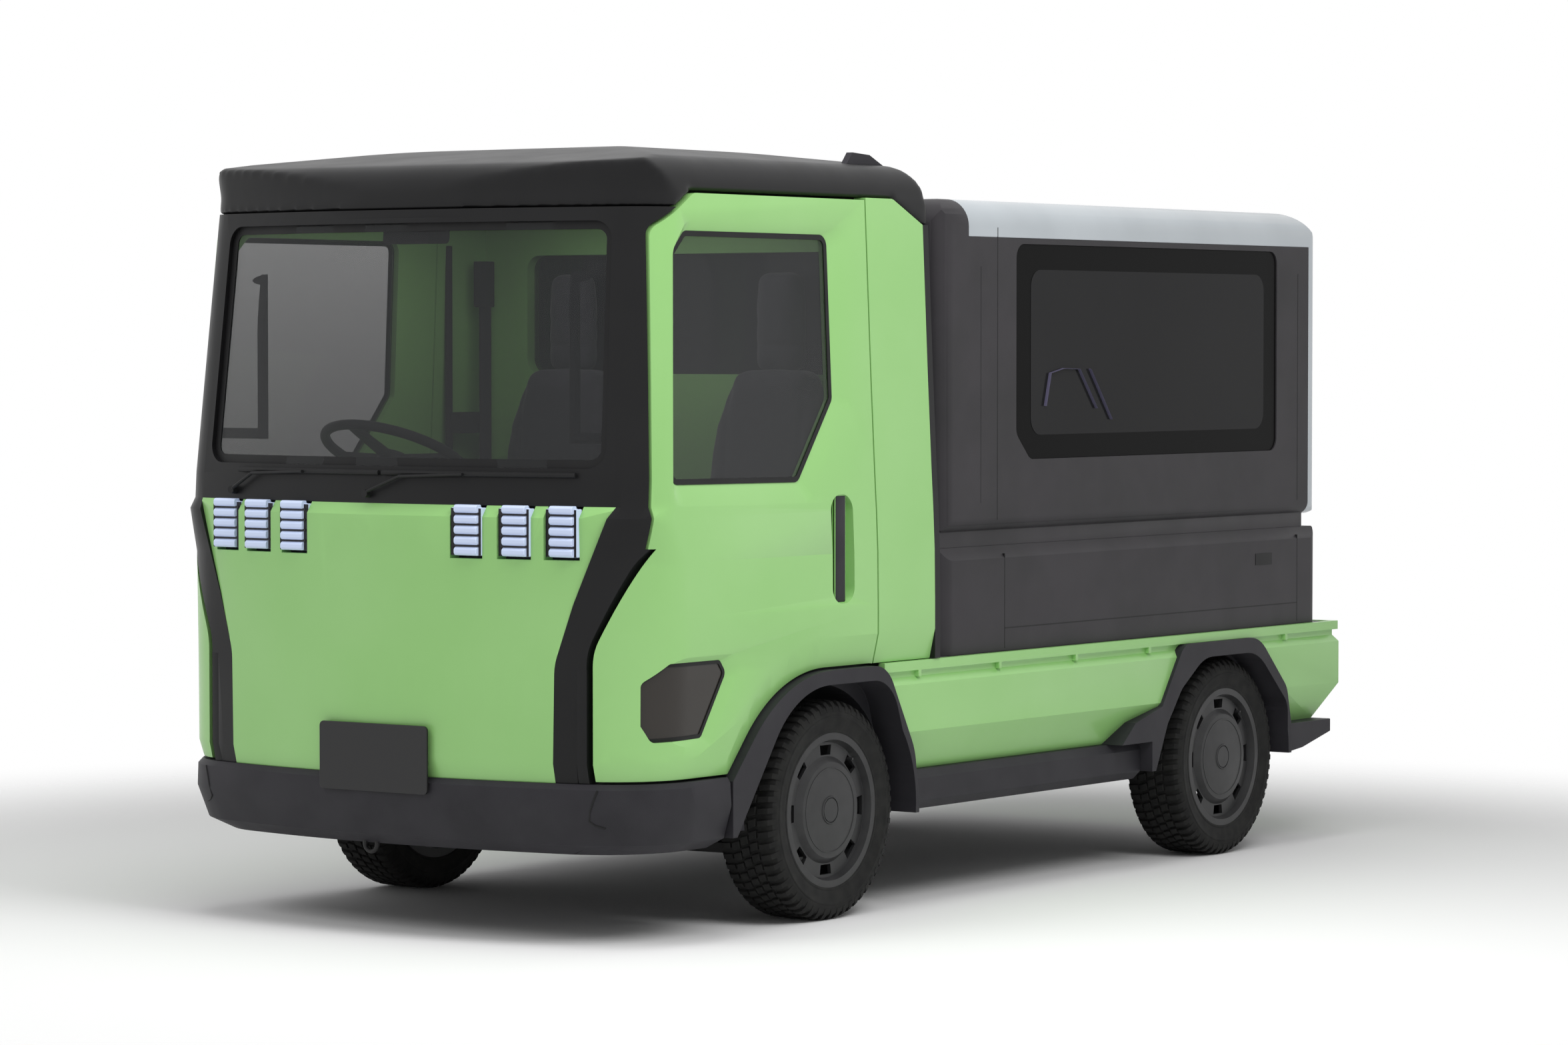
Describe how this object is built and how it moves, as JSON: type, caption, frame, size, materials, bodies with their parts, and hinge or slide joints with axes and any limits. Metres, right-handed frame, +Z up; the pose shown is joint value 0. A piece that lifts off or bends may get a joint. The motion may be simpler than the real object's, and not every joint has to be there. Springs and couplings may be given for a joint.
{
  "type": "kei truck",
  "caption": "Compact cab-over truck with wrapped doors, steered front wheels and a windowed two-storey cargo body on its deck, with an opening hatch and flap.",
  "frame": {"origin": "middle of the footprint, on the ground under the tyres", "axes": "+Z up, +Y from the cab's nose towards the rear, +X to the vehicle's left"},
  "size_m": [1.475, 3.395, 1.885],
  "materials": {
    "green_paint": "gloss",
    "black_gloss": "gloss",
    "lamp_lens": "gloss",
    "tail_lens": "gloss",
    "dark_plastic": "satin",
    "plate_black": "satin",
    "window_glass": "gloss",
    "dark_glass": "gloss",
    "seat_fabric": "matte",
    "deck_metal": "satin",
    "box_grey": "satin",
    "box_silver": "satin",
    "frame_black": "satin",
    "engine_iron": "satin",
    "tyre_rubber": "matte",
    "wheel_black": "satin"
  },
  "bodies": {
    "chassis": {"chassis_frame": "frame_black", "chassis_members": "frame_black", "engine_block": "engine_iron", "front_suspension": "frame_black", "rear_axle": "frame_black", "cab_floor": "dark_plastic", "cab_back": "green_paint", "cab_roof": "black_gloss", "cab_pillar_frame": "black_gloss", "front_panel": "green_paint", "headlamps": "lamp_lens", "front_bumper": "dark_plastic", "number_plate": "plate_black", "cab_glass": "window_glass", "cab_trim": "dark_plastic", "dashboard": "dark_plastic", "seat_cushions": "seat_fabric", "seat_backs": "seat_fabric", "arch_flares": "dark_plastic", "side_sills": "dark_plastic", "load_deck": "deck_metal", "deck_skirts": "green_paint", "tail_lamps": "tail_lens", "rear_bumper": "dark_plastic", "box_lower_shell": "box_grey", "box_upper_shell": "box_grey", "box_roof": "box_silver", "box_windows": "dark_glass"},
    "door_left": {"door_left": "green_paint", "door_left_glass": "window_glass"},
    "door_right": {"door_right": "green_paint", "door_right_glass": "window_glass"},
    "box_hatch": {"box_hatch": "box_grey"},
    "box_lower_door": {"box_lower_door": "box_grey"},
    "steering_wheel": {"steering_wheel": "dark_plastic"},
    "knuckle_left": {"knuckle_left": "engine_iron"},
    "knuckle_right": {"knuckle_right": "engine_iron"},
    "wheel_fl": {"tyre_fl": "tyre_rubber", "wheel_fl": "wheel_black"},
    "wheel_fr": {"tyre_fr": "tyre_rubber", "wheel_fr": "wheel_black"},
    "wheel_rl": {"tyre_rl": "tyre_rubber", "wheel_rl": "wheel_black"},
    "wheel_rr": {"tyre_rr": "tyre_rubber", "wheel_rr": "wheel_black"}
  },
  "joints": [
    {"name": "door_left_hinge", "type": "hinge", "parent": "chassis", "child": "door_left", "pos_m": [0.712, -1.56, 0.9], "axis": [0, 0, -1], "range_deg": [0, 65]},
    {"name": "door_right_hinge", "type": "hinge", "parent": "chassis", "child": "door_right", "pos_m": [-0.712, -1.56, 0.9], "axis": [0, 0, 1], "range_deg": [0, 65]},
    {"name": "hatch_hinge", "type": "hinge", "parent": "chassis", "child": "box_hatch", "pos_m": [0, 1.626, 1.584], "axis": [1, 0, 0], "range_deg": [0, 85]},
    {"name": "lower_door_hinge", "type": "hinge", "parent": "chassis", "child": "box_lower_door", "pos_m": [0, 1.632, 0.656], "axis": [-1, 0, 0], "range_deg": [0, 90]},
    {"name": "steering_turn", "type": "hinge", "parent": "chassis", "child": "steering_wheel", "pos_m": [-0.34, -1.2, 1.13], "axis": [0, 0.4226, 0.9063], "range_deg": [-495, 495]},
    {"name": "steer_left", "type": "hinge", "parent": "chassis", "child": "knuckle_left", "pos_m": [0.585, -0.79, 0.2685], "axis": [0, 0, 1], "range_deg": [-35, 35]},
    {"name": "steer_right", "type": "hinge", "parent": "chassis", "child": "knuckle_right", "pos_m": [-0.585, -0.79, 0.2685], "axis": [0, 0, 1], "range_deg": [-35, 35]},
    {"name": "wheel_fl_spin", "type": "hinge", "parent": "knuckle_left", "child": "wheel_fl", "pos_m": [0.617, -0.79, 0.2685], "axis": [1, 0, 0], "continuous": true},
    {"name": "wheel_fr_spin", "type": "hinge", "parent": "knuckle_right", "child": "wheel_fr", "pos_m": [-0.617, -0.79, 0.2685], "axis": [1, 0, 0], "continuous": true},
    {"name": "wheel_rl_spin", "type": "hinge", "parent": "chassis", "child": "wheel_rl", "pos_m": [0.617, 1.11, 0.2685], "axis": [1, 0, 0], "continuous": true},
    {"name": "wheel_rr_spin", "type": "hinge", "parent": "chassis", "child": "wheel_rr", "pos_m": [-0.617, 1.11, 0.2685], "axis": [1, 0, 0], "continuous": true}
  ],
  "couplings": [
    {"joint": "steer_right", "follows": "steer_left", "ratio": 1},
    {"joint": "steering_turn", "follows": "steer_left", "ratio": 14}
  ]
}
